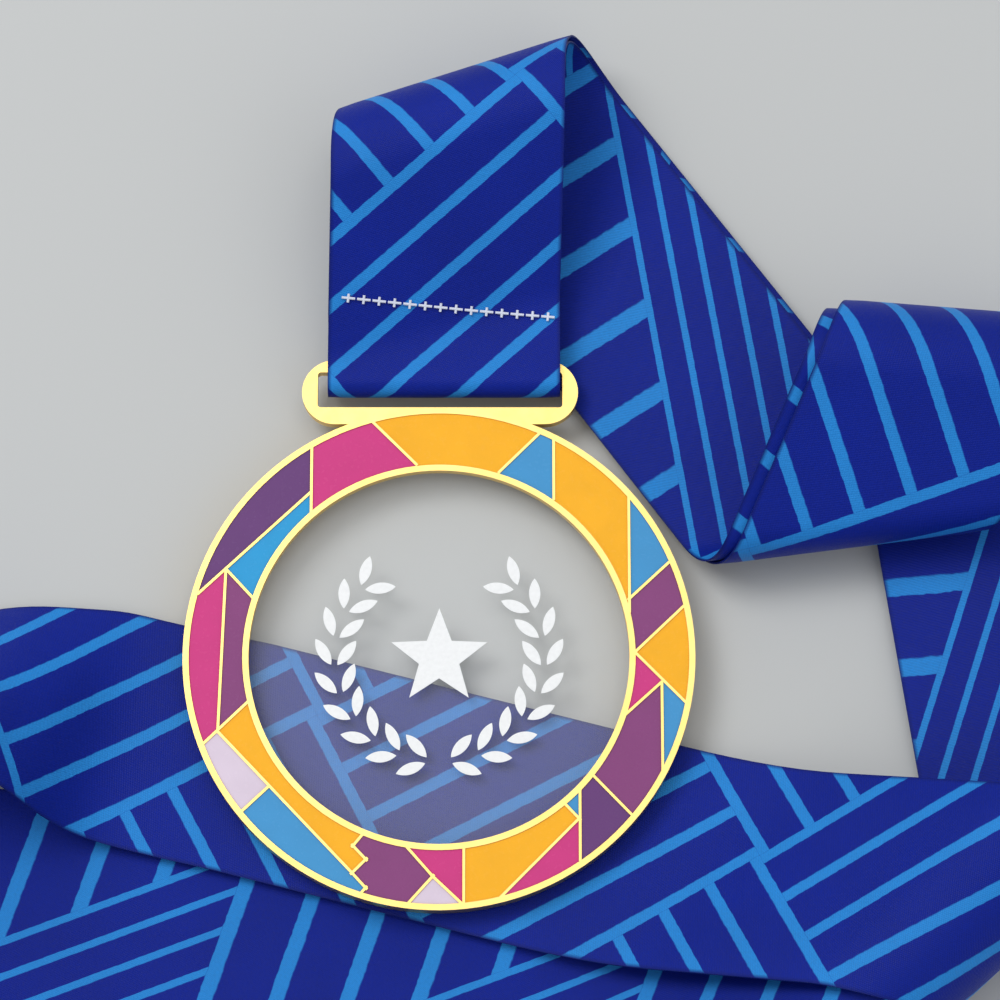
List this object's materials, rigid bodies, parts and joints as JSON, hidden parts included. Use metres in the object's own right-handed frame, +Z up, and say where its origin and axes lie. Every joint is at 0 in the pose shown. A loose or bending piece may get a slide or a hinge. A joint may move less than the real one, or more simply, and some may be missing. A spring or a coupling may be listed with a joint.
{
  "type": "sports finisher medal",
  "caption": "Round gold-rimmed finisher medal with mosaic enamel and a clear centre, lying on its blue striped neck ribbon.",
  "frame": {"origin": "middle of the whole part on the surface it lies on", "axes": "+Z up out of the medal face, +Y from the medal towards its ribbon loop"},
  "size_m": [0.2124, 0.154, 0.036],
  "materials": {
    "adhesive": "clear",
    "clear_acrylic": "clear, polished",
    "enamel_blue": "gloss enamel",
    "enamel_lilac": "gloss enamel",
    "enamel_magenta": "gloss enamel",
    "enamel_orange": "gloss enamel",
    "enamel_plum": "gloss enamel",
    "enamel_sky": "gloss enamel",
    "enamel_violet": "gloss enamel",
    "gold_plate": "polished gold plating",
    "ribbon_cloth": "satin-woven polyester",
    "thread": "twisted thread",
    "white_print": "printed ink"
  },
  "bodies": {
    "ribbon": {"ribbon_far_roll": "ribbon_cloth", "ribbon_first_roll": "ribbon_cloth", "ribbon_floor_run": "ribbon_cloth", "ribbon_front_panel": "ribbon_cloth", "ribbon_loop_bend": "ribbon_cloth", "ribbon_loop_return": "ribbon_cloth", "ribbon_loop_rise": "ribbon_cloth", "ribbon_lower_run": "ribbon_cloth", "ribbon_medal_run": "ribbon_cloth", "ribbon_near_turn": "ribbon_cloth", "ribbon_right_roll": "ribbon_cloth", "ribbon_right_run": "ribbon_cloth", "ribbon_slot_wrap": "ribbon_cloth", "ribbon_stitching": "thread", "ribbon_throat": "ribbon_cloth", "ribbon_upper_run": "ribbon_cloth", "under_far_roll": "ribbon_cloth", "under_first_roll": "ribbon_cloth", "under_front_panel": "ribbon_cloth", "under_lower_run": "ribbon_cloth", "under_near_turn": "ribbon_cloth", "under_right_roll": "ribbon_cloth", "under_right_run": "ribbon_cloth", "under_upper_run": "ribbon_cloth"},
    "medal": {"clear_disc": "clear_acrylic", "disc_adhesive": "adhesive", "disc_print": "white_print", "enamel_blue_upper_left": "enamel_blue", "enamel_lilac_bottom": "enamel_lilac", "enamel_lilac_left": "enamel_lilac", "enamel_magenta_bottom": "enamel_magenta", "enamel_magenta_left": "enamel_magenta", "enamel_magenta_lower_right": "enamel_magenta", "enamel_magenta_right_inner": "enamel_magenta", "enamel_magenta_upper_left": "enamel_magenta", "enamel_orange_lower_left": "enamel_orange", "enamel_orange_lower_right": "enamel_orange", "enamel_orange_right": "enamel_orange", "enamel_orange_top": "enamel_orange", "enamel_orange_upper_right": "enamel_orange", "enamel_plum_bottom": "enamel_plum", "enamel_plum_left": "enamel_plum", "enamel_plum_lower_right": "enamel_plum", "enamel_plum_right": "enamel_plum", "enamel_sky_lower_left": "enamel_sky", "enamel_sky_lower_right_inner": "enamel_sky", "enamel_sky_right": "enamel_sky", "enamel_sky_right_sliver": "enamel_sky", "enamel_sky_top_right": "enamel_sky", "enamel_violet_lower_right": "enamel_violet", "enamel_violet_upper_left": "enamel_violet", "medal_frame": "gold_plate"}
  },
  "joints": [
    {"name": "medal_swing", "type": "hinge", "parent": "ribbon", "child": "medal", "pos_m": [-0.00278, 0.02582, 0.00505], "axis": [-1, 0, 0], "range_deg": [0, 120]}
  ]
}
